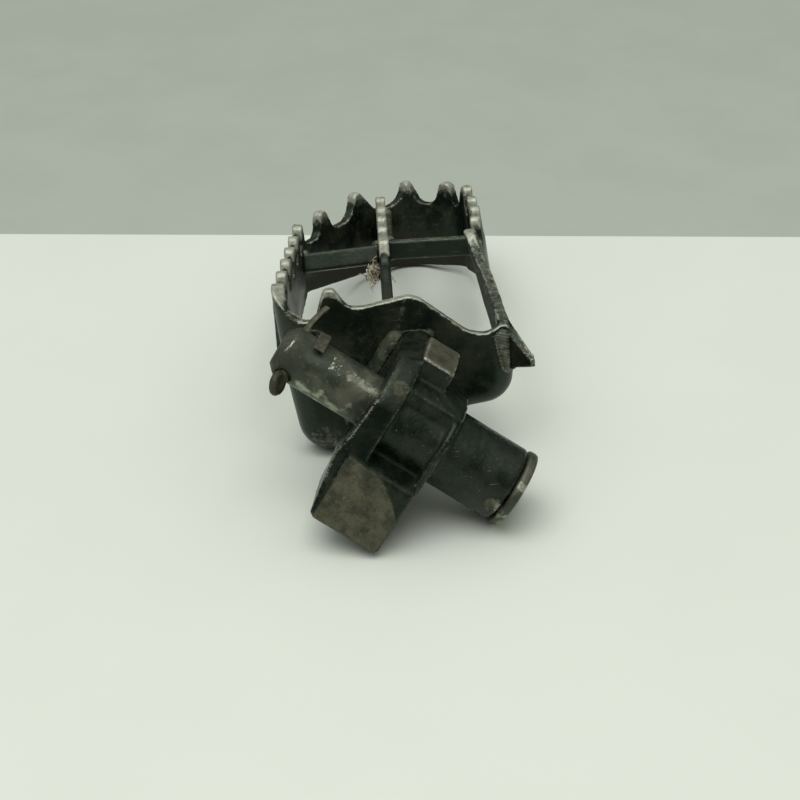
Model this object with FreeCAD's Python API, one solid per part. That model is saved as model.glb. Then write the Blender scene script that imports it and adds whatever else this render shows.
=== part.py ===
import FreeCAD, Part
import math
import os

# Folding foot peg of an off-road motorcycle: a serrated steel tread ring, welded to a
# forged hub that turns on a clevis pin.  Millimetres and degrees throughout.
#
# The peg is drawn in its tread frame: X across the tread, Y outward along the peg, Z up,
# with the tooth tips on Z = 0 and the hub side of the front plate on Y = 0.
# bench_placement() then turns the finished pieces into the pose in which the peg lies on a
# bench, and puts the origin at the middle of the pin's free journal.

Vec = FreeCAD.Vector

# ---- sheet steel of the tread ring ----
SHEET = 2.2               # thickness of band, rib and crossbars
TOOTH_DEPTH = 5.2         # from tooth tip to valley floor
TIP_ROUND = 1.3           # radius on each side of a tooth tip
TIP_FLAT = 0.5            # flat left on a tooth tip
VALLEY_ROUND = 1.9        # radius in a valley's corners
FLANK_ANGLE = 78.0        # slope of a tooth's flank
TOOTH_PITCH = 8.1         # spacing of the even rows of teeth
BAND_FLOOR = -17.0        # lower edge of the ring up to FLOOR_BREAK_Y
FLOOR_BREAK_Y = 53.0      # further out the ring deepens
FLOOR_DROP = 0.125        # by this much per mm
LEFT_CORNER_Y = 49.0      # the ring is less deep at its far left corner
LEFT_CORNER_FLOOR = -15.8
LEFT_JOIN_Y = 68.0        # from here on both sides are equally deep

# ---- plan of the band's middle line ----
LEFT_SIDE_X = -18.8       # left side at LEFT_SIDE_Y
LEFT_SIDE_Y = 40.0
LEFT_TAPER = 0.063        # the left side runs inward by this much per mm outward
RIGHT_TOP_X = 20.45
FAR_CORNER = (20.2, 73.2)
FAR_PEAK = (6.6, 81.0)
FAR_SHOULDER = (-5.6, 71.9)
FAR_LEFT = (-17.9, 49.2)
FRONT_BEND_RADIUS = 3.9   # middle line of the bend from left side to front plate

# ---- teeth that stand on the band ----
FIRST_LEFT_TOOTH_Y = 6.0
LEFT_TEETH = 5
RIGHT_TEETH_Y = (61.7, 53.5, 45.4)
BENT_TOOTH_Y = 38.6
FAR_TEETH = ((-17.6, 47.2), (-13.2, 57.6), (-5.2, 71.3), (6.4, 80.4), (15.2, 75.3), (19.8, 71.3))
# slope on each side and floor radius of the wide gaps, from the left corner round to the right one
FAR_GAPS = ((72.0, 78.0, 1.9), (58.0, 76.0, 4.5), (50.0, 76.0, 4.0), (64.0, 76.0, 3.0), (74.0, 78.0, 1.9))
FRONT_TOOTH_X = -11.0     # the one tooth on the front plate

# ---- right side: leans inward at the top ----
RIGHT_END_Y = 66.0        # where the leaning side meets the band's upright part

# ---- front plate ----
RIM_DEPTH = 6.5           # how far the plate's rolled rim runs outward
RIM_ROUND = 3.9           # outer radius of the rolled rim

# ---- centre rib ----
RIB_TEETH = 5
FIRST_RIB_TOOTH_Y = 33.8
RIB_LOW_TOP = -4.6        # plain stretch between the teeth and the front plate
RIB_FLOOR = -13.0
RIB_X = 0.2

# ---- crossbars ----
BAR_Y = 44.0
BAR_HEIGHT = 4.1
LEFT_BAR_TILT = 24.0      # its face looks up a little
LEFT_BAR_Z = (-7.8, -6.7)  # middle height at the band and at the rib
RIGHT_BAR_Z = (-5.9, -6.0)

# ---- pivot ----
PIN_RADIUS = 5.0
PIN_CLEARANCE = 0.05      # radial running clearance in the hub
PIN_DROP = 34.75          # the pin runs down to the right by this angle
PIN_TOE = 7.0             # and towards the hub side
PIVOT = Vec(-3.49, -18.72, -16.39)   # point on the pin's axis, station 0
PIN_END = -20.4           # stations along the pin's axis
PIN_CHAMFER = 1.6
COTTER_STATION = -17.3
COTTER_HOLE = 1.55
COTTER_RADIUS = 1.45
COTTER_LEAN = 48.0        # the cross hole leans from upright towards the tread
COTTER_REACH = 5.4        # from the pin's axis to the eye and to the bent legs
EYE_RADIUS = 1.5
EYE_WIRE = 0.8
LEG_RADIUS = 1.15         # the legs are half round
LEG_TIP = 12.0            # how far from the pin's axis the straight leg ends
HEAD_START = 28.85
HEAD_THICK = 1.8
HEAD_RADIUS = 7.55

# ---- hub forging, stations along the pin's axis ----
CHEEK_START = -1.2
CHEEK_END = 3.3
FLANGE_START = 13.0
FLANGE_END = 14.4
FLANGE_RADIUS = 10.0
BARREL_END = 28.7
BARREL_RADIUS = 7.33
CORE_RADIUS = 8.4
LUG_START = 0.1
LUG_END = 13.8
LUG_FACE = -12.2          # how far inboard of the pin's axis the stop face stands
LUG_FLOOR = -20.7
LUG_TOP = -6.9
LEDGE_TOP = 8.2
PAD_START = 2.6
PAD_END = 9.1
PLATE_REACH = 19.4        # outward reach that surely enters the front plate

# ---- bench pose ----
# It stands on the front plate's low corner, the pin's head and the far end of the ring.
BENCH_PITCH = -10.67
BENCH_ROLL = -1.58


def unit(vector):
    return vector * (1.0 / vector.Length)


def rounded_edges(points, radii, closed=True):
    """Edges of a polygon whose corners are arcs of the given radii (0 keeps a corner sharp)."""
    count = len(points)
    starts = []
    ends = []
    arcs = []
    for i in range(count):
        here = points[i]
        radius = radii[i]
        inside = closed or 0 < i < count - 1
        if radius <= 0 or not inside:
            starts.append(here)
            ends.append(here)
            arcs.append(None)
            continue
        back = unit(points[i - 1] - here)
        ahead = unit(points[(i + 1) % count] - here)
        half = back.getAngle(ahead) / 2.0
        reach = radius / math.tan(half)
        centre = here + unit(back + ahead) * (radius / math.sin(half))
        starts.append(here + back * reach)
        ends.append(here + ahead * reach)
        middle = centre + unit(here - centre) * radius
        arcs.append(Part.Arc(starts[-1], middle, ends[-1]).toShape())
    edges = []
    for i in range(count):
        if arcs[i]:
            edges.append(arcs[i])
        last = i == count - 1
        if last and not closed:
            break
        following = starts[(i + 1) % count]
        if (following - ends[i]).Length > 1e-6:
            edges.append(Part.makeLine(ends[i], following))
    return edges


def prism(points, radii, direction):
    """Solid swept from a rounded polygon along a direction."""
    wire = Part.Wire(rounded_edges(points, radii))
    return Part.Face(wire).extrude(direction)


def side_offset(points, distance):
    """The points of an open polyline moved sideways, with mitred corners."""
    moved = []
    for i, here in enumerate(points):
        before = unit(here - points[i - 1]) if i > 0 else unit(points[1] - here)
        after = unit(points[i + 1] - here) if i < len(points) - 1 else before
        normal_before = Vec(-before.y, before.x, 0)
        normal_after = Vec(-after.y, after.x, 0)
        middle = unit(normal_before + normal_after)
        moved.append(here + middle * (distance / middle.dot(normal_before)))
    return moved


def strip(points, radii, floor, top):
    """Upright sheet along a middle line that always turns left."""
    outer = side_offset(points, -SHEET / 2)
    inner = side_offset(points, SHEET / 2)
    wide = [r + SHEET / 2 if r else 0 for r in radii]
    tight = [r - SHEET / 2 if r else 0 for r in radii]
    edges = rounded_edges(outer, wide, closed=False)
    back = rounded_edges(inner, tight, closed=False)
    edges.append(Part.makeLine(outer[-1], inner[-1]))
    edges.extend(reversed(back))
    edges.append(Part.makeLine(inner[0], outer[0]))
    face = Part.Face(Part.Wire(Part.__sortEdges__(edges)))
    solid = face.extrude(Vec(0, 0, top - floor))
    solid.translate(Vec(0, 0, floor))
    return solid


def gap_side(half, slope_degrees, floor_round):
    """One side of a gap between teeth: stations from the middle out and heights, with corner radii."""
    slope = math.radians(slope_degrees)
    lean = TOOTH_DEPTH / math.tan(slope)
    shoulder = half - TIP_ROUND * math.tan(slope / 2.0)
    above = 3.0
    floor_round = min(floor_round, 0.95 * (shoulder - lean) / math.tan(slope / 2.0))
    points = [(half + 0.01, above), (half + 0.01, 0), (shoulder, 0), (shoulder - lean, -TOOTH_DEPTH)]
    return points, [0, 0, TIP_ROUND, floor_round]


def valley_cutter(tip_a, tip_b, slope_a=FLANK_ANGLE, slope_b=FLANK_ANGLE,
                  floor_round=VALLEY_ROUND, reach=7.0):
    """Cutter for the gap between two tooth tips given in plan."""
    along = unit(tip_b - tip_a)
    across = Vec(-along.y, along.x, 0)
    middle = (tip_a + tip_b) * 0.5
    half = ((tip_b - tip_a).Length - TIP_FLAT) / 2.0
    side_a, radii_a = gap_side(half, slope_a, floor_round)
    side_b, radii_b = gap_side(half, slope_b, floor_round)
    points = [(-x, z) for x, z in side_a] + side_b[::-1]
    radii = radii_a + radii_b[::-1]
    corners = [middle + along * x + Vec(0, 0, z) - across * reach for x, z in points]
    return prism(corners, radii, across * (2 * reach))


def left_side_x(y):
    return LEFT_SIDE_X + LEFT_TAPER * (y - LEFT_SIDE_Y)


def under_band():
    """Everything below the ring's lower edge."""
    reach = 40.0
    near = -10.0
    far = 95.0
    far_floor = BAND_FLOOR - FLOOR_DROP * (far - FLOOR_BREAK_Y)
    outline = [(near, -60.0), (near, BAND_FLOOR), (FLOOR_BREAK_Y, BAND_FLOOR)]
    outline += [(far, far_floor), (far, -60.0)]
    whole = prism([Vec(-reach, y, z) for y, z in outline], [0, 0, 60, 0, 0], Vec(2 * reach, 0, 0))
    join_floor = BAND_FLOOR - FLOOR_DROP * (LEFT_JOIN_Y - FLOOR_BREAK_Y)
    outline = [(near, -60.0), (near, BAND_FLOOR), (30.0, BAND_FLOOR), (LEFT_CORNER_Y, LEFT_CORNER_FLOOR)]
    outline += [(LEFT_JOIN_Y, join_floor), (LEFT_JOIN_Y, -60.0)]
    raised = prism([Vec(-reach, y, z) for y, z in outline], [0, 0, 20, 12, 0, 0], Vec(reach - 5.0, 0, 0))
    return whole.fuse(raised)


def right_side():
    """Right side of the band: a twisted sheet that leans inward at the top."""
    # Y, inner face at the lower edge, inner face at Z = 0
    stations = (
        (0.6, 21.3, 20.7),
        (12.0, 21.2, 20.1),
        (26.0, 21.4, 18.9),
        (34.0, 21.6, 17.3),
        (BENT_TOOTH_Y, 21.7, 16.8),
        (43.0, 21.8, 18.5),
        (48.0, 21.8, 19.5),
        (58.0, 21.3, 19.5),
        (RIGHT_END_Y + 0.4, 19.6, 19.3),
    )
    floor = BAND_FLOOR - 4.0
    wires = []
    for y, low, high in stations:
        corners = [Vec(low, y, floor), Vec(low + SHEET, y, floor), Vec(high + SHEET, y, 0), Vec(high, y, 0)]
        wires.append(Part.makePolygon(corners + corners[:1]))
    return Part.makeLoft(wires, True, True)


def right_side_relief():
    """Cutter for the low, toothless stretch of the right side next to the front plate."""
    outline = [
        Vec(15.5, BENT_TOOTH_Y + 4, 3),
        Vec(15.5, BENT_TOOTH_Y + 4, -1.1),
        Vec(15.5, BENT_TOOTH_Y - 1.8, -1.1),
        Vec(15.5, BENT_TOOTH_Y - 8.0, -6.0),
        Vec(15.5, 5.0, -8.7),
        Vec(15.5, 1.0, -9.5),
        Vec(15.5, -12, -9.6),
        Vec(15.5, -12, 3),
    ]
    return prism(outline, [0, 0, 3.0, 9.0, 8.0, 0, 0, 0], Vec(15, 0, 0))


def wing():
    """The band's bent-out end, which stands past the front plate."""
    plan = [(21.5, 2.4), (26.6, -4.5), (27.6, -3.6), (23.4, 3.2)]
    floor = BAND_FLOOR - 3.0
    body = prism([Vec(x, y, floor) for x, y in plan], [0, 0.3, 0.3, 0], Vec(0, 0, 12.6))
    above = [Vec(10, 4, -8.6), Vec(10, 4, 3), Vec(10, -12, 3), Vec(10, -12, -21.8)]
    below = [Vec(10, 4, -19.4), Vec(10, -12, -13.9), Vec(10, -12, -25), Vec(10, 4, -25)]
    sharp = [0, 0, 0, 0]
    return body.cut([prism(above, sharp, Vec(24, 0, 0)), prism(below, sharp, Vec(24, 0, 0))])


def plate_outline(inset):
    """Front plate in the X-Z plane, seen from the hub side, inset all round but at the top."""
    top = 6.0 if inset else 0.0
    points = [
        (-22.1 + inset, top),
        (-20.6 + inset, -17.0),
        (-17.9 + inset, -33.8 + inset),
        (-6.0, -33.8 + inset),
        (14.0, -26.6 + inset),
        (23.1 - inset, -25.3 + inset),
        (24.1 - inset, -17.0),
        (23.2 - inset, -8.0),
        (23.2 - inset, top),
    ]
    rounding = [0, 12, 6.5 - inset * 0.8, 18, 20, 6.0 - inset * 0.8, 4, 4, 0]
    return points, rounding


def plate_top():
    """Cutter that leaves the front plate's top edge, from the dip beside its tooth to the right end."""
    back = 4.3
    tip = FRONT_TOOTH_X
    outline = [
        (tip - 8.0, 6.0),
        (tip - 8.0, -3.8),
        (tip - 5.0, -6.2),
        (tip - 3.1, -6.2),
        (tip - 1.0, 0.0),
        (tip + 0.9, 0.0),
        (tip + 3.4, -3.9),
        (tip + 6.5, -4.0),
        (tip + 15.0, -2.3),
        (tip + 17.0, -2.9),
        (tip + 26.0, -10.2),
        (tip + 29.5, -11.0),
        (tip + 32.2, -9.6),
        (tip + 32.2, 6.0),
    ]
    rounding = [0, 0, 1.5, 0.9, 1.3, 1.3, 2.2, 8, 3, 4, 5, 3, 0, 0]
    corners = [Vec(x, -1.0, z) for x, z in outline]
    return prism(corners, rounding, Vec(0, back, 0))


def front_corner_cutter():
    """Cutter for the long slope from the first left tooth down to the dip at the bend."""
    start = Vec(left_side_x(FIRST_LEFT_TOOTH_Y), FIRST_LEFT_TOOTH_Y, 0)
    end = Vec(FRONT_TOOTH_X - 4.0, SHEET / 2, 0)
    along = unit(end - start)
    across = Vec(-along.y, along.x, 0)
    length = (end - start).Length
    flat = length + 1.2
    outline = [(0.5, 6), (0.5, 0), (1.2, 0), (length - 1.2, -6.2), (flat, -6.2), (flat, 6)]
    corners = [start + along * u + Vec(0, 0, z) - across * 7 for u, z in outline]
    return prism(corners, [0, 0, 1.3, 2.5, 0, 0], across * 14)


def front_plate():
    """Deep front plate with a rolled rim, as a dish that opens outward and upward."""
    points, radii = plate_outline(0.0)
    outer = prism([Vec(x, 0, z) for x, z in points], radii, Vec(0, RIM_DEPTH, 0))
    front_edges = []
    for edge in outer.Edges:
        box = edge.BoundBox
        on_front = box.YMax < 1e-6
        if on_front and box.ZMin < -0.5:
            front_edges.append(edge)
    outer = outer.makeFillet(RIM_ROUND, front_edges)
    points, radii = plate_outline(SHEET)
    inner = prism([Vec(x, SHEET, z) for x, z in points], radii, Vec(0, RIM_DEPTH, 0))
    inner_edges = []
    for edge in inner.Edges:
        box = edge.BoundBox
        if box.YMax < SHEET + 1e-6 and box.ZMin < -0.5:
            inner_edges.append(edge)
    inner = inner.makeFillet(RIM_ROUND - SHEET + 0.3, inner_edges)
    above_wall = Part.makeBox(20, RIM_DEPTH + 2, 20, Vec(16, SHEET, -8.9))
    above_end = Part.makeBox(20, RIM_DEPTH + 2, 20, Vec(21.1, -1, -9.5))
    return outer.cut([inner, above_wall, above_end])


def tread_band():
    """One long strip: front plate, left side, far end, right side and bent-out wing."""
    front_y = RIM_DEPTH - 1.0
    path = [
        Vec(RIGHT_TOP_X, RIGHT_END_Y, 0),
        Vec(FAR_CORNER[0], FAR_CORNER[1], 0),
        Vec(FAR_PEAK[0], FAR_PEAK[1], 0),
        Vec(FAR_SHOULDER[0], FAR_SHOULDER[1], 0),
        Vec(FAR_LEFT[0], FAR_LEFT[1], 0),
        Vec(left_side_x(front_y), front_y, 0),
    ]
    ring = strip(path, [0, 6, 9, 14, 5, 0], -24.0, 0.0)
    ring = ring.cut(under_band())
    side = right_side().cut(under_band())
    band = ring.fuse([side, front_plate(), wing()])
    cutters = [right_side_relief(), plate_top(), front_corner_cutter()]
    left = [Vec(left_side_x(y), y, 0) for y in left_tooth_stations()]
    far = [Vec(x, y, 0) for x, y in FAR_TEETH]
    right = [Vec(RIGHT_TOP_X, y, 0) for y in RIGHT_TEETH_Y]
    for row in (left + far[:1], [far[-1]] + right + [Vec(RIGHT_TOP_X, BENT_TOOTH_Y, 0)]):
        for tip_a, tip_b in zip(row, row[1:]):
            cutters.append(valley_cutter(tip_a, tip_b))
    for tip_a, tip_b, (slope_a, slope_b, floor_round) in zip(far, far[1:], FAR_GAPS):
        cutters.append(valley_cutter(tip_a, tip_b, slope_a, slope_b, floor_round))
    band = band.cut(cutters)
    return band.removeSplitter()


def left_tooth_stations():
    return [FIRST_LEFT_TOOTH_Y + TOOTH_PITCH * i for i in range(LEFT_TEETH)]


def centre_rib(band):
    """Rib along the middle: low next to the front plate, toothed over its outer part."""
    step = FIRST_RIB_TOOTH_Y - 2.0
    end = 78.0
    outline = [
        (SHEET, RIB_FLOOR - 4),
        (SHEET, RIB_LOW_TOP),
        (step - 2.4, RIB_LOW_TOP),
        (step - 0.2, 0),
        (end, 0),
        (end, RIB_FLOOR),
        (14, RIB_FLOOR),
    ]
    corners = [Vec(RIB_X - SHEET / 2, y, z) for y, z in outline]
    rib = prism(corners, [0, 0, 2, 1.3, 0, 0, 20], Vec(SHEET, 0, 0))
    tips = [Vec(0, FIRST_RIB_TOOTH_Y + TOOTH_PITCH * i, 0) for i in range(RIB_TEETH)]
    tips.append(Vec(0, FIRST_RIB_TOOTH_Y + TOOTH_PITCH * RIB_TEETH + 6.0, 0))
    cutters = [valley_cutter(a, b) for a, b in zip(tips, tips[1:])]
    rib = rib.cut(cutters + [band])
    return largest_solid(rib)


def largest_solid(shape):
    return max(shape.Solids, key=lambda solid: solid.Volume)


def crossbar(x_from, x_to, z_from, z_to, tilt, band, rib):
    """Flat bar across the ring, between the band and the rib, trimmed to both."""
    half = BAR_HEIGHT / 2
    thick = SHEET / 2
    lean = math.radians(tilt)
    wires = []
    for x, z in ((x_from, z_from), (x_to, z_to)):
        corners = []
        for across, up in ((-thick, -half), (thick, -half), (thick, half), (-thick, half)):
            y = BAR_Y + across * math.cos(lean) + up * math.sin(lean)
            height = z - across * math.sin(lean) + up * math.cos(lean)
            corners.append(Vec(x, y, height))
        wires.append(Part.makePolygon(corners + corners[:1]))
    bar = Part.makeLoft(wires, True, True)
    bar = bar.makeFillet(0.35, [e for e in bar.Edges if e.Length > 10])
    return largest_solid(bar.cut([band, rib]))


def hub_placement():
    """Placement that takes hub coordinates (station, outward, up) to the tread frame."""
    drop = math.radians(PIN_DROP)
    toe = math.radians(PIN_TOE)
    axis = Vec(math.cos(drop) * math.cos(toe), -math.sin(toe), -math.sin(drop) * math.cos(toe))
    up = unit(Vec(math.sin(drop), 0, math.cos(drop)))
    outward = up.cross(axis)
    return FreeCAD.Placement(PIVOT, FreeCAD.Rotation(axis, unit(outward), unit(axis.cross(outward)), "XYZ"))


def hub_slab(start, end, outline, radii):
    """Slab of the hub between two stations, from an outline of (outward, up) points."""
    return prism([Vec(start, l, m) for l, m in outline], radii, Vec(end - start, 0, 0))


def round_bar(start, end, radius):
    return Part.makeCylinder(radius, end - start, Vec(start, 0, 0), Vec(1, 0, 0))


def cheek_flare():
    """Swelling low on the cheek's outer side, thickest towards the stop lug."""
    heights = (4.0, 1.0, -2.0, -4.8, -7.4, -11.0, -14.5, -20.9)
    swell = (0.0, 0.12, 0.35, 0.8, 1.5, 0.85, 0.2, -1.0)
    wires = []
    for outward, share in ((-12.6, 0.6), (-11.2, 0.92), (-9.6, 1.0), (0.0, 0.45), (12.0, 0.0)):
        edge = [Vec(CHEEK_START - 0.02 - share * s, outward, m) for s, m in zip(swell, heights)]
        corners = [Vec(1, outward, heights[0])] + edge + [Vec(1, outward, heights[-1])]
        wires.append(Part.makePolygon(corners + corners[:1]))
    return Part.makeLoft(wires, True, True)


def hub_forging(band):
    """Forged hub: cheek, core, stop lug, spring barrel with its flange, and folding pad."""
    outline = [(LUG_FACE + 0.6, -14.2), (LUG_FACE + 0.6, LUG_TOP), (-9.6, 5.0), (-5.0, 11.0),
               (5.0, 13.2), (PLATE_REACH, 11.5), (PLATE_REACH, -9.6), (4.0, -12.6)]
    rounding = [2, 5, 7, 6, 8, 0, 0, 8]
    cheek = hub_slab(CHEEK_START, CHEEK_END, outline, rounding)
    cheek = cheek.makeFillet(0.9, [e for e in cheek.Edges if e.BoundBox.XMax < CHEEK_START + 1e-6
                                   and e.BoundBox.YMax < PLATE_REACH - 0.5])
    cheek = cheek.fuse(cheek_flare().common(hub_slab(CHEEK_START - 3, 1, outline, rounding)))
    bevel = [Vec(-4, -2, 7.6), Vec(CHEEK_END, -2, 12.8), Vec(CHEEK_END, -2, 20), Vec(-4, -2, 20)]
    cheek = cheek.cut(prism(bevel, [0, 0, 0, 0], Vec(0, 24, 0)))
    core = round_bar(CHEEK_END - 1, FLANGE_START + 0.5, CORE_RADIUS)
    ledge = hub_slab(
        CHEEK_END - 1, FLANGE_END,
        [(-6.6, LEDGE_TOP - 0.3), (-2.0, LEDGE_TOP + 1.1), (12.0, LEDGE_TOP + 0.6),
         (14.0, 1.0), (3, -13.5), (-6.6, -3)],
        [0.4, 0, 1.5, 3, 6, 0],
    )
    corner = [Vec(FLANGE_END + 3, 2.0, -20), Vec(FLANGE_END, 2.0, -20), Vec(12.8, 11.0, -20)]
    corner += [Vec(9.0, 16.0, -20), Vec(9.0, 24.0, -20), Vec(FLANGE_END + 3, 24.0, -20)]
    ledge = ledge.cut(prism(corner, [0, 5, 4, 0, 0, 0], Vec(0, 0, 40)))
    web = hub_slab(
        CHEEK_END - 1, PAD_END + 0.6,
        [(0, 6), (PLATE_REACH, 2.0), (PLATE_REACH, -11.0), (3, -13.5)],
        [0, 0, 0, 6],
    )
    outline = [(LUG_FACE, LUG_FLOOR), (LUG_FACE, LUG_TOP), (-3.0, LUG_TOP + 2.5)]
    outline += [(2.5, -8), (1.5, LUG_FLOOR + 2.6)]
    rounding = [0.6, 0.8, 0, 2, 3]
    behind_face = [(max(out, LUG_FACE + 0.9), up) for out, up in outline]
    set_back = hub_slab(CHEEK_START - 3, 1, behind_face, rounding)
    lug_side = cheek_flare().common(set_back)
    lug = hub_slab(LUG_START, LUG_END, outline, rounding)
    bottom_corner = []
    for edge in lug.Edges:
        box = edge.BoundBox
        if box.XMin > LUG_END - 0.01 and box.ZMax < LUG_FLOOR + 3 and box.YLength > 8:
            bottom_corner.append(edge)
    lug = lug.makeFillet(0.8, bottom_corner)
    flange = hub_slab(
        FLANGE_START, FLANGE_END,
        [(-9.3, -9.6), (-9.6, 3.2), (-5.9, LEDGE_TOP), (4.0, LEDGE_TOP + 0.8), (8.5, 2.0), (7.0, -9.0)],
        [4, 6, 4, 5, 6, 5],
    )
    barrel = round_bar(FLANGE_END - 0.5, BARREL_END, BARREL_RADIUS)
    barrel = barrel.makeChamfer(0.5, [e for e in barrel.Edges if e.BoundBox.XMin > BARREL_END - 0.1])
    pad = hub_slab(
        PAD_START, PAD_END,
        [(-2.1, 5.0), (-2.1, 13.1), (8.2, 14.5), (12.5, 8.0), (16.0, 3.0), (0, 0)],
        [0, 0.5, 1.2, 0, 0, 0],
    )
    bore = round_bar(CHEEK_START - 2, BARREL_END + 2, PIN_RADIUS + PIN_CLEARANCE)
    hub = cheek.fuse([core, ledge, web, lug, lug_side, flange, barrel, pad])
    hub = hub.cut(bore)
    hub.Placement = hub_placement()
    return largest_solid(hub.cut(band).removeSplitter())


def cross_hole():
    lean = math.radians(COTTER_LEAN)
    across = Vec(0, math.sin(lean), math.cos(lean))
    return Part.makeCylinder(COTTER_HOLE, 14, Vec(COTTER_STATION, 0, 0) - across * 7, across)


def pivot_pin():
    """Clevis pin with a flat head and a cross hole for the split pin."""
    shank = round_bar(PIN_END, HEAD_START + 0.5, PIN_RADIUS)
    shank = shank.makeChamfer(PIN_CHAMFER, [e for e in shank.Edges if e.BoundBox.XMax < PIN_END + 0.1])
    head = round_bar(HEAD_START, HEAD_START + HEAD_THICK, HEAD_RADIUS)
    head = head.makeFillet(0.35, [e for e in head.Edges if e.BoundBox.XLength < 1e-6])
    pin = shank.fuse(head).cut(cross_hole()).removeSplitter()
    pin.Placement = hub_placement()
    return pin


def rounded_rod(points, radius):
    """Round rod through the given points, with ball ends and ball corners."""
    rod = Part.makeSphere(radius, points[0])
    for start, end in zip(points, points[1:]):
        along = end - start
        straight = Part.makeCylinder(radius, along.Length, start, along)
        rod = rod.fuse([straight, Part.makeSphere(radius, end)])
    return rod.removeSplitter()


def round_pin(station, turn, radius):
    """Point off the pin's axis by a radius, turned in degrees from the split pin's legs to the hub's top."""
    lean = math.radians(COTTER_LEAN - turn)
    return Vec(COTTER_STATION + station, radius * math.sin(lean), radius * math.cos(lean))


def half_round_leg(path, round_side):
    """Half-round wire along a smooth path; its round side starts out facing along the pin (1 or -1)."""
    curve = Part.BSplineCurve()
    curve.interpolate(path)
    start = path[0]
    ahead = unit(path[1] - path[0])
    side = unit(ahead.cross(Vec(1, 0, 0)))
    round_way = unit(Vec(1, 0, 0) - ahead * ahead.x) * round_side
    left = start - side * LEG_RADIUS
    right = start + side * LEG_RADIUS
    half_circle = Part.Arc(left, start + round_way * LEG_RADIUS, right).toShape()
    profile = Part.Wire([half_circle, Part.makeLine(right, left)])
    return Part.Wire(curve.toShape()).makePipeShell([profile], True, False)


def split_pin():
    """Split pin through the cross hole: eye on the near side, legs bent apart on the far side."""
    start = round_pin(0, 180, COTTER_REACH)
    end = round_pin(0, 0, COTTER_REACH - 0.6)
    shank = Part.makeCylinder(COTTER_RADIUS, (end - start).Length, start, end - start)
    toward_legs = unit(end - start)
    side = toward_legs.cross(Vec(1, 0, 0))
    eye_centre = start - toward_legs * (EYE_RADIUS - 0.3)
    ring = []
    for i in range(13):
        turn = math.radians(30 * i)
        stretch = toward_legs * (EYE_RADIUS * 1.15 * math.cos(turn))
        ring.append(eye_centre + stretch + (Vec(0.55, 0, 0) + side * 0.84) * (EYE_RADIUS * math.sin(turn)))
    eye = rounded_rod(ring, EYE_WIRE)
    path = [round_pin(0.2, 0, 4.6), round_pin(0.35, 0, 7.2), round_pin(1.5, 0, LEG_TIP)]
    straight_leg = half_round_leg(path, -1)
    lying = PIN_RADIUS + LEG_RADIUS + 0.2
    path = [round_pin(0.1, 0, 4.6), round_pin(0.25, 0, 5.7), round_pin(1.6, 4, lying + 0.3)]
    path += [round_pin(2.7, 18, lying + 0.1)]
    path += [round_pin(3.1, turn, lying) for turn in (36, 54, 72, 92)]
    bent_leg = half_round_leg(path, 1)
    pin = largest_solid(shank.fuse([eye, straight_leg, bent_leg]))
    pin.Placement = hub_placement()
    return pin


def weld(points, radius, neighbours):
    """Weld bead laid in a corner between two pieces, and cut back to their faces."""
    return largest_solid(rounded_rod(points, radius).cut(neighbours))


def in_hub(station, outward, up):
    return hub_placement().multVec(Vec(station, outward, up))


def on_plate(station, up, lift=-0.4):
    """Point on the front plate's hub side, straight outward of a point on the hub."""
    point = in_hub(station, 0, up)
    outward = in_hub(station, 1, up) - point
    return point + outward * ((lift - point.y) / outward.y)


def hub_welds(band, hub):
    """Welds round the hub's foot on the front plate; each is cut back to the ones before it."""
    left = CHEEK_START - 0.3
    right = PAD_END + 0.9
    beads = (
        ("hub_weld_left", (left, -8.5), (left, 7.2), 2.2),
        ("hub_weld_top", (CHEEK_START + 0.6, 8.9), (CHEEK_END - 0.2, 11.6), 1.1),
        ("hub_weld_right", (right, -9.0), (right, 0.5), 2.0),
        ("hub_weld_bottom", (CHEEK_START + 1, -10.6), (PAD_END - 0.5, -11.6), 2.0),
    )
    parts = [band, hub]
    welds = {}
    for name, start, end, radius in beads:
        welds[name] = weld([on_plate(*start), on_plate(*end)], radius, parts)
        parts.append(welds[name])
    return welds


def ring_welds(band, rib, bars):
    """Welds that hold the rib and the crossbars in the ring."""
    parts = [band, rib] + bars
    half = SHEET / 2 + 0.2
    far_y = rib.BoundBox.YMax - 0.2
    welds = {}
    for name, x in (("left", RIB_X - half), ("right", RIB_X + half)):
        welds["rib_plate_weld_" + name] = weld(
            [Vec(x, SHEET + 0.2, -7.5), Vec(x, SHEET + 0.2, RIB_FLOOR - 2)], 1.2, parts)
        welds["rib_end_weld_" + name] = weld(
            [Vec(x, far_y, -6.5), Vec(x, far_y, RIB_FLOOR + 1)], 1.2, parts)
    spots = (
        ("bar_weld_left", Vec(-16.9, BAR_Y + 1.2, LEFT_BAR_Z[0])),
        ("bar_weld_right", Vec(19.0, BAR_Y + 1.2, RIGHT_BAR_Z[1])),
        ("bar_rib_weld_left", Vec(RIB_X - half, BAR_Y + 1.2, LEFT_BAR_Z[1])),
        ("bar_rib_weld_right", Vec(RIB_X + half, BAR_Y + 1.2, RIGHT_BAR_Z[0])),
    )
    for name, place in spots:
        rise = Vec(0, 0, BAR_HEIGHT / 2 - 0.6)
        welds[name] = weld([place - rise, place + rise], 1.3, parts)
    return welds


def bench_placement():
    """Placement that lays the peg on a bench, with the pin's free journal at the origin."""
    journal = in_hub((CHEEK_START + COTTER_STATION + COTTER_HOLE) / 2, 0, 0)
    tilt = FreeCAD.Rotation(Vec(0, 1, 0), BENCH_ROLL) * FreeCAD.Rotation(Vec(1, 0, 0), BENCH_PITCH)
    return FreeCAD.Placement(tilt.multVec(journal) * -1, tilt)


PIECES = {}


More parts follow.
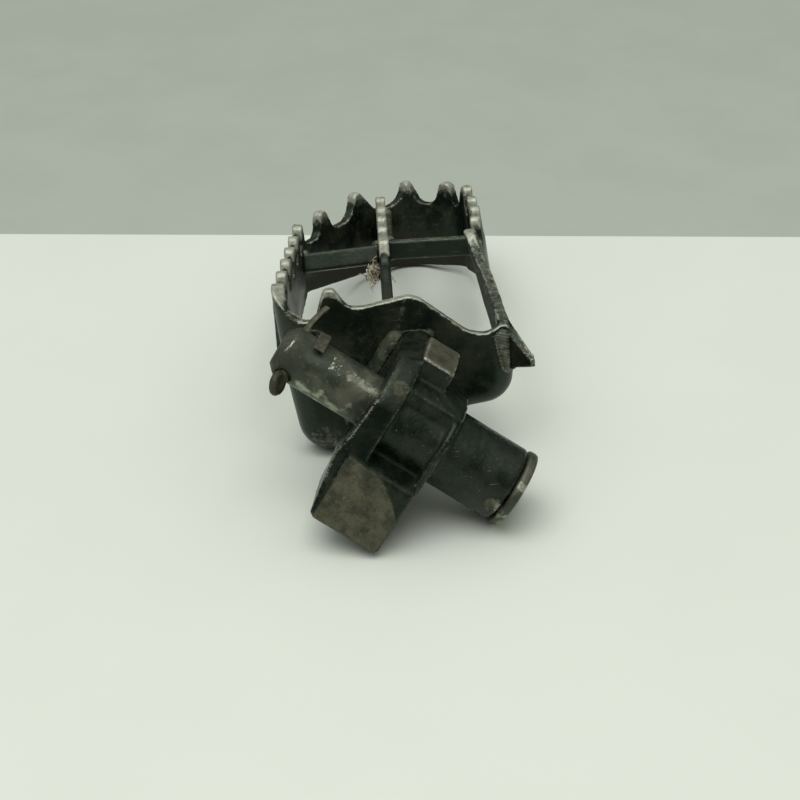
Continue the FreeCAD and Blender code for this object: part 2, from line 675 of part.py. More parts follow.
def build():
    band = tread_band()
    rib = centre_rib(band)
    PIECES["tread_band"] = band
    PIECES["centre_rib"] = rib
    left_bar = crossbar(-18.2, 0, LEFT_BAR_Z[0], LEFT_BAR_Z[1], LEFT_BAR_TILT, band, rib)
    right_bar = crossbar(0, 19.6, RIGHT_BAR_Z[0], RIGHT_BAR_Z[1], 0.0, band, rib)
    hub = hub_forging(band)
    PIECES["crossbar_left"] = left_bar
    PIECES["crossbar_right"] = right_bar
    PIECES["hub_forging"] = hub
    PIECES["pivot_pin"] = pivot_pin()
    PIECES["split_pin"] = split_pin()
    PIECES["band_seam_weld"] = weld([Vec(21.4, 1.7, -11.9), Vec(22.1, 2.1, -17.4)], 2.5, [band])
    PIECES.update(hub_welds(band, hub))
    PIECES.update(ring_welds(band, rib, [left_bar, right_bar]))


build()
bench = bench_placement()
os.makedirs("parts", exist_ok=True)
for name, shape in PIECES.items():
    shape = shape.copy()
    shape.Placement = bench.multiply(shape.Placement)
    print(name, shape.isValid(), len(shape.Solids), round(shape.Volume, 1))
    shape.exportStep("parts/" + name + ".step")
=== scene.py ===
import math

import bmesh
import bpy
import numpy as np
from mathutils import Euler, Matrix, Vector, noise


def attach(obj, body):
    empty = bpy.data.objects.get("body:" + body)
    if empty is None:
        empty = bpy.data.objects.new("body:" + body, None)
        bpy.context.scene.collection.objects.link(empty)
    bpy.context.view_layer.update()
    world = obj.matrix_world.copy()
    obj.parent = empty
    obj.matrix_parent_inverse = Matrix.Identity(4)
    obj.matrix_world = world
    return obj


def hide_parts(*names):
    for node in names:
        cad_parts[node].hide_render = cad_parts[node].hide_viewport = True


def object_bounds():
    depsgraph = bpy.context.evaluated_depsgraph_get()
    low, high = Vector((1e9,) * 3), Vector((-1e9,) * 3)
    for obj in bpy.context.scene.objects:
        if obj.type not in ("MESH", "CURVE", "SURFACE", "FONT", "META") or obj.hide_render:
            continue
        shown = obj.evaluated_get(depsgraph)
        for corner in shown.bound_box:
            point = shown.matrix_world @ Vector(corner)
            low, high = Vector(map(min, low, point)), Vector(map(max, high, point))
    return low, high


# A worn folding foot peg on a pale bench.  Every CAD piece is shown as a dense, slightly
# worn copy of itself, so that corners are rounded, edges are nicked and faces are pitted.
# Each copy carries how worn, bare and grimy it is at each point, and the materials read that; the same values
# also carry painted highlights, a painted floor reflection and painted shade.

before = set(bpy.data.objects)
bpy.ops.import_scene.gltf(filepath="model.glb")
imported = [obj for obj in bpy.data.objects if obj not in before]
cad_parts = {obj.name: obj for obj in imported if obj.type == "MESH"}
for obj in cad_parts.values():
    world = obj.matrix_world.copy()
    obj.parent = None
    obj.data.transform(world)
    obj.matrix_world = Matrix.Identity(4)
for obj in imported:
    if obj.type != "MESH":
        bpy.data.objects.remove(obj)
MM = 0.001


def corners():
    low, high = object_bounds()
    return [list(low), list(high)]


cad_box = corners()

# ---- the two frames in which the peg is easiest to describe, in millimetres ----
BENCH_PITCH = -10.67
BENCH_ROLL = -1.58
JOURNAL = np.array((-10.4016, -17.6872, -11.5953))    # the row's origin, in the tread frame
PIVOT = np.array((-3.49, -18.72, -16.39))             # station 0 of the pin, in the tread frame
PIN_DROP = math.radians(34.75)
PIN_TOE = math.radians(7.0)

ROLLED = Matrix.Rotation(math.radians(BENCH_ROLL), 3, "Y")
PITCHED = Matrix.Rotation(math.radians(BENCH_PITCH), 3, "X")
TILT = np.array(ROLLED @ PITCHED)
PIN_AXIS = Vector((
    math.cos(PIN_DROP) * math.cos(PIN_TOE), -math.sin(PIN_TOE), -math.sin(PIN_DROP) * math.cos(PIN_TOE)))
PIN_OUT = Vector((math.sin(PIN_DROP), 0, math.cos(PIN_DROP))).cross(PIN_AXIS).normalized()
PIN_UP = PIN_AXIS.cross(PIN_OUT)
HUB = np.array((PIN_AXIS, PIN_OUT, PIN_UP))


def to_tread(points):
    """Row-frame points in metres as tread-frame points: x across, y outward, z up from the tips."""
    return (points / MM) @ TILT + JOURNAL


def to_hub(points):
    """Row-frame points in metres as (station along the pin, outward, up)."""
    return (to_tread(points) - PIVOT) @ HUB.T


def from_tread(*point):
    return Vector((np.array(point) - JOURNAL) @ TILT.T * MM)


def from_hub(*point):
    return from_tread(*(np.array(point) @ HUB + PIVOT))


def smooth_step(values, low, high):
    t = np.clip((values - low) / (high - low), 0, 1)
    return t * t * (3 - 2 * t)


# ---- dense copies ----
def read_points(mesh, what="co"):
    values = np.zeros(len(mesh.vertices) * 3)
    mesh.vertices.foreach_get(what, values)
    return values.reshape(-1, 3)


def write_points(mesh, points):
    mesh.vertices.foreach_set("co", points.ravel())
    mesh.update()


def neighbour_mean(mesh, values, rounds):
    """Values averaged over each vertex's neighbours, so many times over."""
    edges = np.zeros(len(mesh.edges) * 2, int)
    mesh.edges.foreach_get("vertices", edges)
    a, b = edges.reshape(-1, 2).T
    count = np.bincount(a, minlength=len(values)) + np.bincount(b, minlength=len(values))
    count = np.maximum(count, 1)
    values = values.copy()
    for _ in range(rounds):
        total = np.zeros_like(values)
        for k in range(values.shape[1]):
            total[:, k] = np.bincount(a, values[b, k], len(values))
            total[:, k] += np.bincount(b, values[a, k], len(values))
        values += 0.6 * (total / count[:, None] - values)
    return values


def noise_at(points, scale, octaves=3, seed=0.0):
    """Fractal noise of about -1 to 1 at points in millimetres."""
    shift = Vector((seed, seed * 1.7, -seed))
    return np.array([noise.fractal(Vector(p) * scale + shift, 1.0, 2.0, octaves) for p in points])


def remeshed(piece, voxel):
    modifier = piece.modifiers.new("remesh", "REMESH")
    modifier.mode = "VOXEL"
    modifier.voxel_size = voxel * MM
    graph = bpy.context.evaluated_depsgraph_get()
    mesh = bpy.data.meshes.new_from_object(piece.evaluated_get(graph))
    piece.modifiers.clear()
    piece.data = mesh


def new_object(name, mesh):
    piece = bpy.data.objects.new(name, mesh)
    bpy.context.scene.collection.objects.link(piece)
    return piece


def store(mesh, name, values):
    layer = mesh.attributes.get(name) or mesh.attributes.new(name, "FLOAT", "POINT")
    layer.data.foreach_set("value", np.clip(values, 0, 1).astype(np.float32))


def roughen(piece, dents=0.03, nicks=0.10, seed=0.0, soften=3):
    """Rounds and nicks the corners and dents the faces.

    Returns each point's place and normal, and how sharp and how hollow the surface was there."""
    mesh = piece.data
    points = neighbour_mean(mesh, read_points(mesh), soften)
    write_points(mesh, points)
    normals = read_points(mesh, "normal")
    shift = ((points - neighbour_mean(mesh, points, 14)) * normals).sum(1) / MM
    sharp = np.clip(shift / 0.16, 0, 1)
    hollow = np.clip(-shift / 0.16, 0, 1)
    place = points / MM
    broad = noise_at(place, 0.35, 3, seed)
    fine = noise_at(place, 1.6, 2, seed + 5)
    bite = smooth_step(noise_at(place, 0.9, 3, seed + 11), 0.25, 0.75) * sharp
    points = points + normals * ((dents * (0.7 * broad + 0.3 * fine) - nicks * bite) * MM)[:, None]
    write_points(mesh, points)
    for polygon in mesh.polygons:
        polygon.use_smooth = True
    return points, read_points(mesh, "normal"), sharp, hollow


def worn_copy(node, voxel=0.3, **options):
    piece = new_object(node + "_worn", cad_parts[node].data.copy())
    remeshed(piece, voxel)
    found = roughen(piece, **options)
    piece.data.materials.clear()
    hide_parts(node)
    return (piece,) + found


def finish_piece(piece, material, body, wear_and_glint, bare_and_highlight, grime_and_shade):
    for name, values in (("wear_and_glint", wear_and_glint), ("bare_and_highlight", bare_and_highlight), ("grime_and_shade", grime_and_shade)):
        store(piece.data, name, values)
    piece.data.materials.append(material)
    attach(piece, body)


# ---- materials ----
class Graph:
    """A small helper to lay out one material's nodes."""

    def __init__(self, name):
        self.material = bpy.data.materials.new(name)
        self.material.use_nodes = True
        self.tree = self.material.node_tree
        self.tree.nodes.clear()
        self.output = self.tree.nodes.new("ShaderNodeOutputMaterial")
        coordinates = self.tree.nodes.new("ShaderNodeTexCoord")
        self.place = self.scaled(coordinates.outputs["Object"], (1000, 1000, 1000))

    def put(self, socket, value):
        if isinstance(value, bpy.types.NodeSocket):
            self.tree.links.new(value, socket)
        else:
            socket.default_value = value

    def scaled(self, vector, scale, turn=(0, 0, 0)):
        node = self.tree.nodes.new("ShaderNodeMapping")
        node.inputs["Scale"].default_value = scale
        node.inputs["Rotation"].default_value = turn
        self.tree.links.new(vector, node.inputs["Vector"])
        return node.outputs["Vector"]

    def noise(self, scale, detail=3.0, rough=0.55, place=None, warp=0.0):
        node = self.tree.nodes.new("ShaderNodeTexNoise")
        node.inputs["Scale"].default_value = scale
        node.inputs["Detail"].default_value = detail
        node.inputs["Roughness"].default_value = rough
        node.inputs["Distortion"].default_value = warp
        self.tree.links.new(place or self.place, node.inputs["Vector"])
        return node.outputs["Fac"]

    def cells(self, scale):
        node = self.tree.nodes.new("ShaderNodeTexVoronoi")
        node.inputs["Scale"].default_value = scale
        self.tree.links.new(self.place, node.inputs["Vector"])
        return node.outputs["Distance"]

    def attribute(self, name):
        node = self.tree.nodes.new("ShaderNodeAttribute")
        node.attribute_name = name
        return node.outputs["Fac"]

    def math(self, operation, a, b=0.0):
        node = self.tree.nodes.new("ShaderNodeMath")
        node.operation = operation
        self.put(node.inputs[0], a)
        self.put(node.inputs[1], b)
        return node.outputs[0]

    def band(self, value, low, high, start=0.0, end=1.0):
        node = self.tree.nodes.new("ShaderNodeMapRange")
        node.interpolation_type = "SMOOTHSTEP"
        self.put(node.inputs["Value"], value)
        node.inputs["From Min"].default_value = low
        node.inputs["From Max"].default_value = high
        node.inputs["To Min"].default_value = start
        node.inputs["To Max"].default_value = end
        return node.outputs["Result"]

    def mix(self, share, a, b):
        node = self.tree.nodes.new("ShaderNodeMix")
        node.data_type = "RGBA"
        self.put(node.inputs["Factor"], share)
        self.put(node.inputs["A"], a if isinstance(a, bpy.types.NodeSocket) else (*a, 1))
        self.put(node.inputs["B"], b if isinstance(b, bpy.types.NodeSocket) else (*b, 1))
        return node.outputs["Result"]

    def blend(self, share, a, b):
        node = self.tree.nodes.new("ShaderNodeMix")
        self.put(node.inputs["Factor"], share)
        self.put(node.inputs["A"], a)
        self.put(node.inputs["B"], b)
        return node.outputs["Result"]

    def bump(self, height, strength, distance, normal=None):
        node = self.tree.nodes.new("ShaderNodeBump")
        node.inputs["Strength"].default_value = strength
        node.inputs["Distance"].default_value = distance * MM
        self.tree.links.new(height, node.inputs["Height"])
        if normal:
            self.tree.links.new(normal, node.inputs["Normal"])
        return node.outputs["Normal"]

    def surface(self, color, metallic, roughness, normal, sheen_tint=(1, 1, 1), gloss=0.5):
        shader = self.tree.nodes.new("ShaderNodeBsdfPrincipled")
        shader.inputs["Specular IOR Level"].default_value = gloss
        shader.inputs["Specular Tint"].default_value = (*sheen_tint, 1)
        self.put(shader.inputs["Base Color"], color)
        self.put(shader.inputs["Metallic"], metallic)
        self.put(shader.inputs["Roughness"], roughness)
        if normal:
            self.put(shader.inputs["Normal"], normal)
        self.tree.links.new(shader.outputs[0], self.output.inputs["Surface"])
        return self.material


SHEEN_TINT = (0.80, 1.0, 0.80)     # the black finish reflects a little green


def steel(name, coat, coat_patch, bare_and_highlight, bare_patch, grime_and_shade=(0.038, 0.032, 0.020), coat_rough=0.34,
          coat_metal=0.0, pits=1.0, bare_rough=0.44, bare_metal=0.75, scratches=1.0, worn_metal=0.80,
          gloss=0.5):
    """Coated steel that shows exposed metal where the coat is gone and dirt where it is sheltered; the same
    channels also paint highlights, a reflection and shade.
    """
    g = Graph(name)
    broad = g.noise(0.13, 4.0, 0.6, warp=0.6)
    middle = g.noise(0.9, 4.0, 0.6)
    fine = g.noise(4.5, 3.0, 0.65)
    # These three attributes hold painted highlights, a painted reflection and painted shade as well as real
    # wear and dirt.
    wear_and_glint = g.attribute("wear_and_glint")
    open_metal_and_highlight = g.attribute("bare_and_highlight")
    dirt_and_shade = g.attribute("grime_and_shade")

    speckle = g.math("ADD", g.math("MULTIPLY", g.math("SUBTRACT", middle, 0.5), 0.9),
                     g.math("MULTIPLY", g.math("SUBTRACT", fine, 0.5), 0.9))
    worn_and_glinting = g.band(g.math("ADD", wear_and_glint, speckle), 0.40, 0.64)
    mottle = g.math("SUBTRACT", middle, 0.5)
    rubbed_and_highlit = g.band(g.math("ADD", open_metal_and_highlight, g.math("MULTIPLY", mottle, 0.9)), 0.30, 0.70)
    soiled_and_shaded = g.band(g.math("ADD", dirt_and_shade, g.math("MULTIPLY", mottle, 1.2)), 0.35, 0.90)
    flakes = g.band(g.noise(2.6, 2.0, 0.5), 0.71, 0.76)

    turned = g.scaled(g.place, (0.12, 7.0, 7.0), (0.4, 0.5, 0.9))
    crossed = g.scaled(g.place, (7.0, 0.15, 7.0), (0.2, 0.9, 0.4))
    lines = g.math("MAXIMUM", g.band(g.noise(1.0, 1.0, 0.4, turned), 0.72, 0.76),
                   g.band(g.noise(1.0, 1.0, 0.4, crossed), 0.73, 0.77))
    lines = g.math("MULTIPLY", lines, g.band(broad, 0.50, 0.62))

    skin = g.mix(g.band(broad, 0.42, 0.64), coat, coat_patch)
    skin = g.mix(g.math("MULTIPLY", g.band(middle, 0.52, 0.70), 0.45), skin, coat_patch)
    metal = g.mix(g.band(middle, 0.35, 0.65), bare_and_highlight, bare_patch)
    blotch = g.noise(0.34, 6.0, 0.70, warp=0.3)
    rubbed_and_highlit_steel = g.mix(g.band(blotch, 0.36, 0.70, 0.0, 0.80), bare_patch, coat_patch)
    rubbed_and_highlit_steel = g.mix(g.math("MULTIPLY", g.band(fine, 0.42, 0.72), 0.45), rubbed_and_highlit_steel, coat_patch)
    color = g.mix(rubbed_and_highlit, skin, rubbed_and_highlit_steel)
    color = g.mix(g.math("MULTIPLY", soiled_and_shaded, 0.80), color, grime_and_shade)
    color = g.mix(g.math("MULTIPLY", flakes, 0.30 * scratches), color, metal)
    color = g.mix(g.math("MULTIPLY", lines, 0.45 * scratches), color, metal)
    color = g.mix(worn_and_glinting, color, metal)

    metallic = g.blend(rubbed_and_highlit, coat_metal, bare_metal)
    metallic = g.blend(g.math("MULTIPLY", soiled_and_shaded, 0.80), metallic, 0.0)
    metallic = g.blend(worn_and_glinting, metallic, worn_metal)
    rough = g.band(broad, 0.3, 0.7, coat_rough - 0.06, coat_rough + 0.12)
    rough = g.blend(rubbed_and_highlit, rough, g.band(fine, 0.3, 0.7, 0.40, 0.58))
    rough = g.blend(soiled_and_shaded, rough, 0.80)
    rough = g.blend(worn_and_glinting, rough, g.band(fine, 0.3, 0.7, bare_rough - 0.08, bare_rough + 0.16))

    normal = g.bump(middle, 0.30 * pits, 0.10)
    normal = g.bump(fine, 0.40 * pits, 0.045, normal)
    normal = g.bump(g.band(g.cells(0.9), 0.0, 0.25), 0.25 * pits, 0.05, normal)
    return g.surface(color, metallic, rough, normal, SHEEN_TINT, gloss)


tread_steel = steel(
    "tread_steel", (0.0042, 0.0074, 0.0048), (0.021, 0.022, 0.0135), (0.53, 0.54, 0.46), (0.34, 0.34, 0.27),
    grime_and_shade=(0.026, 0.0225, 0.014), coat_rough=0.32, worn_metal=0.60, bare_rough=0.48, gloss=0.42)
# A lighter copy of the tread finish, used on the right crossbar: painted light that makes its faces look more
# brightly lit.
lit_bar_steel = steel(
    "lit_bar_steel", (0.0170, 0.0260, 0.0180), (0.024, 0.030, 0.0205), (0.53, 0.54, 0.46), (0.34, 0.34, 0.27),
    coat_rough=0.36, worn_metal=0.60, bare_rough=0.48)
hub_steel = steel(
    "hub_steel", (0.0040, 0.0072, 0.0046), (0.0175, 0.0205, 0.0140),
    (0.52, 0.53, 0.47), (0.124, 0.115, 0.078),
    grime_and_shade=(0.012, 0.0105, 0.0065), coat_rough=0.24, pits=2.2, bare_metal=0.30, gloss=0.30)
pin_steel = steel(
    "pin_steel", (0.045, 0.050, 0.038), (0.120, 0.116, 0.085), (0.66, 0.67, 0.59), (0.46, 0.46, 0.37),
    grime_and_shade=(0.034, 0.032, 0.020), coat_rough=0.40, coat_metal=0.45, pits=1.3, worn_metal=0.7)
weld_metal = steel(
    "weld_metal", (0.018, 0.022, 0.015), (0.062, 0.060, 0.042), (0.50, 0.51, 0.44), (0.25, 0.255, 0.20),
    coat_rough=0.44, coat_metal=0.2, pits=1.5, worn_metal=0.5, bare_metal=0.4)
rusty_steel = steel(
    "rusty_steel", (0.036, 0.036, 0.023), (0.085, 0.074, 0.048), (0.50, 0.49, 0.43), (0.19, 0.175, 0.125),
    grime_and_shade=(0.058, 0.034, 0.020), coat_rough=0.50, coat_metal=0.2, pits=2.2)


# ---- tread ring ----
def near(distance, reach):
    """1 where a distance is small, falling to 0 at the reach."""
    return 1 - smooth_step(distance, 0.35 * reach, reach)


def dress_band():
    piece, points, normals, sharp, hollow = worn_copy("tread_band", 0.30, seed=1.0, nicks=0.06)
    x, y, z = to_tread(points).T
    turned = normals @ TILT
    up = turned[:, 2]
    top_faces = smooth_step(up, 0.45, 0.85)
    right_strip = (x > 15) & (y < 43) & (y > 1)
    plate = (y < 8) & (x < 22.5)
    tips = smooth_step(z, -4.0, -0.8)
    wear_and_glint = 0.42 * sharp + 0.55 * tips * (0.30 + 0.70 * top_faces) + 0.42 * smooth_step(z, -2.8, -0.4)
    wear_and_glint += 0.16 * top_faces
    inner_line = near(np.abs(x - 17.3 - 0.095 * (38 - y)), 0.55) * (y > 8)
    wear_and_glint += right_strip * top_faces * (0.30 * inner_line - 0.25 * smooth_step(20 - y, 0, 8))
    wear_and_glint += 0.30 * plate * top_faces
    wear_and_glint -= 0.30 * smooth_step(-z, 16.0, 22.0)
    low_left = near(np.hypot(x + 12.5, (z + 30.5) * 1.6), 7.5) * (y < 6)
    wear_and_glint += 0.52 * low_left
    ring_mark = near(np.abs(np.hypot(y - 37.6, z + 3.4) - 1.0), 0.6) * (x > 16) * (x < 19)
    wear_and_glint -= 0.7 * ring_mark * right_strip
    bare_and_highlight = 0.40 * tips + 0.50 * right_strip * top_faces + 0.42 * low_left
    streak = near(np.abs(x - 2.4 - 0.42 * (z + 6)), 1.2) * (z > -13) * (y < 1)
    bare_and_highlight += 0.34 * streak + 0.24 * smooth_step(y, 36, 42) * smooth_step(z, -14.0, -10.0)
    around_hub = near(np.hypot(x + 5.0, z + 13.0), 12.0) * (y < 3)
    # Grime together with painted shade: the far left of the ring is darkened partly because its inner face
    # lies in shade; the walls behind the plate grow darker from 8 mm below the tips down.
    far_left_grime_and_shade = (y > 45) * (x < 8) * 0.25
    grime_and_shade = 0.50 * hollow + 0.45 * around_hub + far_left_grime_and_shade + 0.18 * smooth_step(-z, 8.0, 15.0) * (y > 3)
    # Painted shade: the inner face of the right wall, and the inner faces under the crossbars, are darkened
    # as if in shade.
    shaded_inner_right = (x > 10) & (y > 6) & (y < 42) & (turned[:, 0] < -0.5)
    inside = smooth_step(-(x * turned[:, 0] + (y - 30) * turned[:, 1]), 0, 8)
    shade_under_bars = inside * smooth_step(y, 36, 42) * smooth_step(-z, 11.0, 15.0)
    grime_and_shade += 0.30 * streak - 0.5 * tips + 0.70 * shaded_inner_right + 0.60 * shade_under_bars
    finish_piece(piece, tread_steel, "peg", wear_and_glint, bare_and_highlight, grime_and_shade)


def dress_rib():
    piece, points, normals, sharp, hollow = worn_copy("centre_rib", 0.28, seed=2.0)
    x, y, z = to_tread(points).T
    up = (normals @ TILT)[:, 2]
    teeth = smooth_step(y, 29, 31)
    wear_and_glint = 0.50 * sharp + teeth * (0.80 * smooth_step(z, -4.2, -1.0) + 0.30 * smooth_step(up, 0.4, 0.9))
    wear_and_glint -= 0.4 * (1 - teeth)
    # The rib is darker more than 6 mm below the tips.
    grime_and_shade = 0.5 * hollow + 0.25 * (z < -6)
    finish_piece(piece, tread_steel, "peg", wear_and_glint, 0.5 * teeth * (z > -5), grime_and_shade)


def dress_crossbar(node, material, top_wear, top_highlight, seed):
    piece, points, normals, sharp, hollow = worn_copy(node, 0.25, seed=seed)
    up = (normals @ TILT)[:, 2]
    wear_and_glint = 0.36 * sharp + top_wear * smooth_step(up, 0.55, 0.9)
    # Upward faces are lightened by the top value: a painted highlight where light falls from above.
    bare_and_highlight = top_highlight * smooth_step(up, 0.35, 0.8)
    finish_piece(piece, material, "peg", wear_and_glint, bare_and_highlight, 0.35 * hollow)


# ---- hub and pin ----
def dress_hub():
    piece, points, normals, sharp, hollow = worn_copy(
        "hub_forging", 0.30, seed=3.0, dents=0.05, nicks=0.14, soften=5)
    s, l, m = to_hub(points).T
    outward = (normals @ TILT @ HUB.T)[:, 1]
    stop_face = smooth_step(-l, 11.6, 11.9) * smooth_step(-outward, 0.6, 0.9) * (m < -6.4)
    # The stop face's upper-right triangle is kept dark: a painted shadow of the hub above it.
    edge_run = np.clip((s - 5.3) / 8.5, 0, 1)
    shadow_triangle = smooth_step(edge_run ** 1.5 - (-6.9 - m) / 6.4, -0.10, 0.16)
    pad_face = smooth_step(m, 12.4, 13.0) * (s > 2.4) * (l < 9)
    rim_patch = near(np.sqrt((s - 1.5) ** 2 + (l + 7.7) ** 2 + (m - 7.5) ** 2), 2.6)
    # Painted reflection of the bright floor on the barrel's lower side next to the head.
    floor_reflection = near(np.hypot(s - 27.0, (m + 2.6) * 0.8), 2.3) * (l < 0) * (s > 13.5)
    # A painted highlight on the core's upper side, given in the brown grime tone.
    core_highlight_band = (s > 3.5) * (s < 12.8) * near(np.abs(np.hypot(l, m) - 8.5), 1.0)
    ridge = sharp * smooth_step(-l, 5.0, 9.0) * smooth_step(-s, -0.4, 0.6) * (m > -14) * (m < 9)
    wear_and_glint = 0.40 * sharp + 0.22 * rim_patch + 0.14 * ridge + 0.34 * floor_reflection
    wear_and_glint += 0.27 * pad_face - 0.25 * stop_face
    bare_and_highlight = 0.80 * stop_face * (1 - shadow_triangle) + 1.0 * pad_face + 0.55 * rim_patch + 0.60 * floor_reflection
    # The hub is darker from about the pin's axis downward.
    grime_and_shade = 0.60 * hollow + 0.25 * smooth_step(-m, -2, 8) + 0.30 * core_highlight_band * smooth_step(m, 0, 5)
    grime_and_shade -= 0.9 * (stop_face * (1 - shadow_triangle) + pad_face)
    finish_piece(piece, hub_steel, "peg", wear_and_glint, bare_and_highlight, grime_and_shade)


def dress_pin():
    piece, points, normals, sharp, hollow = worn_copy("pivot_pin", 0.25, seed=4.0, dents=0.03, nicks=0.10)
    s, l, m = to_hub(points).T
    journal = smooth_step(s, -17.5, -13)
    blotches = 0.5 + 0.9 * noise_at(points / MM, 0.42, 3, 41.0)
    # The journal's lower side is rubbed bare and also lightened as a painted reflection of the floor.
    low_rub_and_reflection = journal * smooth_step(-m, -1.6, 2.6) * smooth_step(-l, -0.5, 2.0) * np.clip(blotches, 0, 1)
    specks = near(np.hypot((s + 10.1) * 0.8, (m - 3.5) * 1.2), 2.4) * (l < 0)
    dots = smooth_step(noise_at(points / MM * (1.0, 1.0, 2.2), 1.9, 3, 43.0), 0.16, 0.42)
    highlight = near(np.abs(m - 3.3 + 0.6 * dots), 1.1) * (l < 0) * smooth_step(s, -9.0, -6.5)
    chafed_end = near(np.abs(s + 18.95 - 0.25 * (m - 2.4)), 0.34) * near(np.abs(m - 2.4), 2.2) * (l < -2)
    head = s > 28.2
    wear_and_glint = 0.30 * sharp * ~head + 0.34 * low_rub_and_reflection + 0.62 * specks * dots + 0.40 * chafed_end
    bare_and_highlight = 0.85 * low_rub_and_reflection + 0.55 * highlight + 0.30 * specks + 0.12 * head
    grime_and_shade = 0.45 * hollow + 0.72 * smooth_step(-s, 13.0, 17.0) + 0.35 * head
    finish_piece(piece, pin_steel, "pivot", wear_and_glint, bare_and_highlight, grime_and_shade)


def dress_split_pin():
    piece, points, normals, sharp, hollow = worn_copy("split_pin", 0.16, seed=5.0, dents=0.07, nicks=0.10)
    m = to_hub(points)[:, 2]
    eye = smooth_step(-m, 2.0, 4.0)
    wear_and_glint = 0.50 * sharp * (1 - 0.6 * eye)
    grime_and_shade = 0.3 * hollow + 0.62 * eye
    finish_piece(piece, rusty_steel, "pivot", wear_and_glint, 0.42 * (1 - eye), grime_and_shade)


# ---- welds ----
def dress_weld(node, seed, lumps, height, light, pitch, sunk):
    piece, points, normals, sharp, hollow = worn_copy(node, 0.15, seed=seed, dents=lumps, nicks=0.03)
    place = points / MM
    middle = place.mean(0)
    spread = np.linalg.svd(place - middle, full_matrices=False)[2]
    along = (place - middle) @ spread[0]
    across = (place - middle) @ spread[1]
    ripple = np.abs(np.sin((along + 0.10 * across ** 2 + 0.75 * across) * math.pi / pitch))
    points = points + normals * ((height * (ripple - 0.7) - sunk) * MM)[:, None]
    write_points(piece.data, points)
    wear_and_glint = light * (0.5 + 0.4 * ripple)
    bare_and_highlight = light * (1.0 + 0.4 * ripple)
    finish_piece(piece, weld_metal, "peg", wear_and_glint, bare_and_highlight, (0.7 - light) * (1.2 - ripple))


# ---- dried grass caught between the rib and the left crossbar ----
def dress_clump():
    random = np.random.default_rng(7)
    shape = bmesh.new()
    top = np.array((-2.2, 41.6, -9.2))
    for _ in range(26):
        place = top + random.normal(0, (0.9, 0.6, 0.9))
        heading = random.normal(0, 1, 3) + (0.15, 0, -0.9)
        width = random.uniform(0.10, 0.22)
        rings = []
        for _ in range(9):
            heading = heading + random.normal(0, 0.55, 3) - (0, 0, 0.18)
            heading /= np.linalg.norm(heading)
            side = np.cross(heading, (0.3, 1.0, 0.2))
            side /= np.linalg.norm(side)
            over = np.cross(heading, side)
            rings.append([shape.verts.new(from_tread(*(place + width * (side * a + over * b))))
                          for a, b in ((1, 0), (-0.5, 0.87), (-0.5, -0.87))])
            place = place + heading * random.uniform(0.45, 0.75)
            width *= 0.93
        for lower, upper in zip(rings, rings[1:]):
            for k in range(3):
                shape.faces.new((lower[k], lower[(k + 1) % 3], upper[(k + 1) % 3], upper[k]))
        shape.faces.new(rings[0][::-1])
        shape.faces.new(rings[-1])
    for place, radius in (((-1.9, 42.0, -9.4), 1.25), ((-1.7, 41.9, -11.0), 0.85)):
        lump = bmesh.ops.create_icosphere(shape, subdivisions=3, radius=radius * MM)
        for vertex in lump["verts"]:
            swell = 1 + 0.45 * noise.fractal(vertex.co / (0.8 * MM), 1.0, 2.0, 3)
            vertex.co = vertex.co * swell + from_tread(*place)
    bmesh.ops.recalc_face_normals(shape, faces=shape.faces)
    mesh = bpy.data.meshes.new("dried_grass")
    shape.to_mesh(mesh)
    shape.free()
    g = Graph("dried_grass")
    color = g.mix(g.band(g.noise(1.6, 4.0), 0.35, 0.65), (0.66, 0.61, 0.47), (0.20, 0.155, 0.10))
    mesh.materials.append(g.surface(color, 0.0, 0.85, g.bump(g.noise(7.0), 0.5, 0.08)))
    piece = new_object("dried_grass", mesh)
    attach(piece, "peg")


HUB_BEAD = (0.30, 0.04, 0.20, 0.95)     # lumps, ripple height, lightness, ripple pitch
RING_BEAD = (0.04, 0.045, 0.40, 0.78)

dress_band()
dress_rib()
dress_crossbar("crossbar_left", tread_steel, 0.05, 0.0, 6.0)
dress_crossbar("crossbar_right", lit_bar_steel, 0.02, 0.45, 7.0)
dress_hub()
dress_pin()
dress_split_pin()
for count, node in enumerate(sorted(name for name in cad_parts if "weld" in name)):
    on_hub = node.startswith("hub")
    sunk = 0.30 if node == "band_seam_weld" else 0.0
    dress_weld(node, 20.0 + count, *(HUB_BEAD if on_hub else RING_BEAD), sunk)
dress_clump()


# ---- bench, light and camera ----
LENS = 76.436
SENSOR = 36.0
CAMERA_PLACE = (0.004409, -0.263720, 0.161218)
CAMERA_TURN = (57.8119, 1.3129, -2.4033)     # degrees about X, Y and Z


def plain(name, color, rough, fleck):
    g = Graph(name)
    shade = g.band(g.noise(0.02, 3.0), 0.3, 0.7)
    tint = tuple(channel * (1 - fleck) for channel in color)
    return g.surface(g.mix(shade, color, tint), 0.0, rough, None)


def sheet_at(name, outline, height, material, thickness=0.012):
    mesh = bpy.data.meshes.new(name)
    shape = bmesh.new()
    face = shape.faces.new([shape.verts.new((x, y, height)) for x, y in outline])
    solid = bmesh.ops.extrude_face_region(shape, geom=[face])
    low = [v for v in solid["geom"] if isinstance(v, bmesh.types.BMVert)]
    bmesh.ops.translate(shape, verts=low, vec=(0, 0, -thickness))
    bmesh.ops.recalc_face_normals(shape, faces=shape.faces)
    shape.to_mesh(mesh)
    shape.free()
    mesh.materials.append(material)
    new_object(name, mesh)


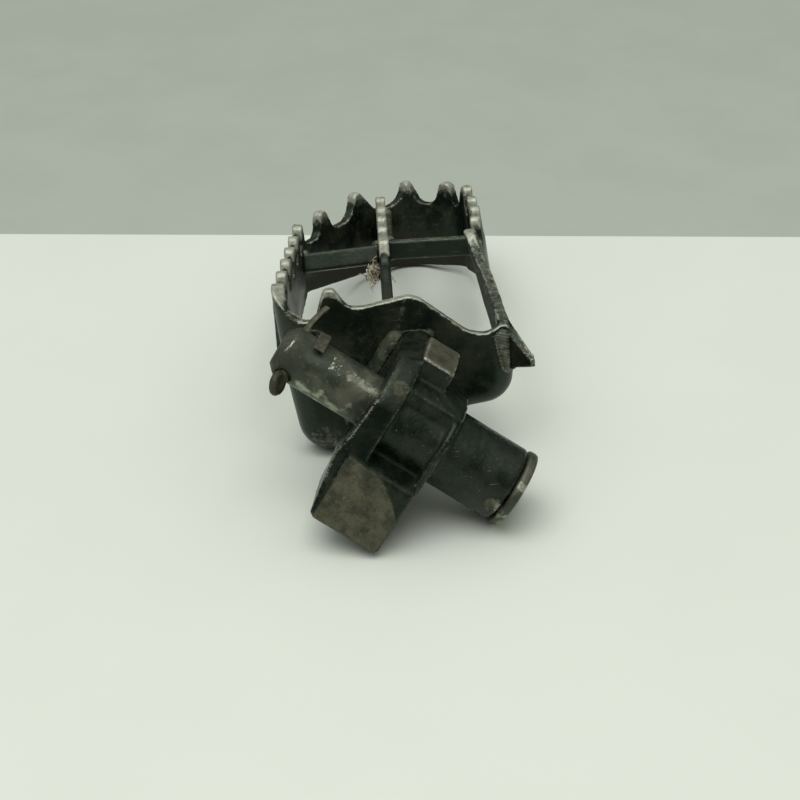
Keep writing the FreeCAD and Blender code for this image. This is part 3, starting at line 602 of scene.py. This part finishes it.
def bench():
    """Bench top under the peg; its back edge runs a little askew, over a darker ground."""
    floor = cad_box[0][2] - 0.00002
    edge_y = 0.1114
    slope = -0.0961
    reach = 3.0
    drop_to_ground = 0.25
    back_corners = [(reach, edge_y + slope * reach), (-reach, edge_y - slope * reach)]
    outline = [(-reach, -reach), (reach, -reach)] + back_corners
    sheet_at("bench_top", outline, floor, plain("bench_white", (0.81, 0.84, 0.765), 0.55, 0.02))
    beyond = [(-4, -4), (4, -4), (4, 4), (-4, 4)]
    sheet_at("ground", beyond, floor - drop_to_ground, plain("ground_grey", (0.555, 0.595, 0.525), 0.7, 0.04))


def lamp(name, place, target, width, depth, power):
    data = bpy.data.lights.new(name, "AREA")
    data.shape = "RECTANGLE"
    data.size = width
    data.size_y = depth
    data.energy = power
    light = bpy.data.objects.new(name, data)
    bpy.context.scene.collection.objects.link(light)
    light.location = place
    light.rotation_euler = (Vector(target) - Vector(place)).to_track_quat("-Z", "Y").to_euler()


def studio():
    lamp("overhead", (-0.12, -0.30, 1.10), (0, 0.03, 0), 1.1, 0.9, 6.3)
    world = bpy.data.worlds.new("studio")
    bpy.context.scene.world = world
    world.use_nodes = True
    tree = world.node_tree
    background = tree.nodes["Background"]
    coordinates = tree.nodes.new("ShaderNodeTexCoord")
    split = tree.nodes.new("ShaderNodeSeparateXYZ")
    ramp = tree.nodes.new("ShaderNodeValToRGB")
    ramp.color_ramp.elements[0].position = 0.30
    ramp.color_ramp.elements[0].color = (0.045, 0.052, 0.046, 1)
    ramp.color_ramp.elements[1].position = 0.95
    ramp.color_ramp.elements[1].color = (0.82, 0.86, 0.80, 1)
    tree.links.new(coordinates.outputs["Generated"], split.inputs["Vector"])
    tree.links.new(split.outputs["Z"], ramp.inputs["Fac"])
    tree.links.new(ramp.outputs["Color"], background.inputs["Color"])
    background.inputs["Strength"].default_value = 1.15


def camera():
    data = bpy.data.cameras.new("camera")
    data.lens = LENS
    data.sensor_width = SENSOR
    data.clip_start = 0.01
    data.clip_end = 20.0
    viewer = bpy.data.objects.new("camera", data)
    bpy.context.scene.collection.objects.link(viewer)
    viewer.location = CAMERA_PLACE
    viewer.rotation_euler = Euler([math.radians(a) for a in CAMERA_TURN])
    bpy.context.scene.camera = viewer


bench()
studio()
camera()
bpy.context.scene.view_settings.view_transform = "Standard"
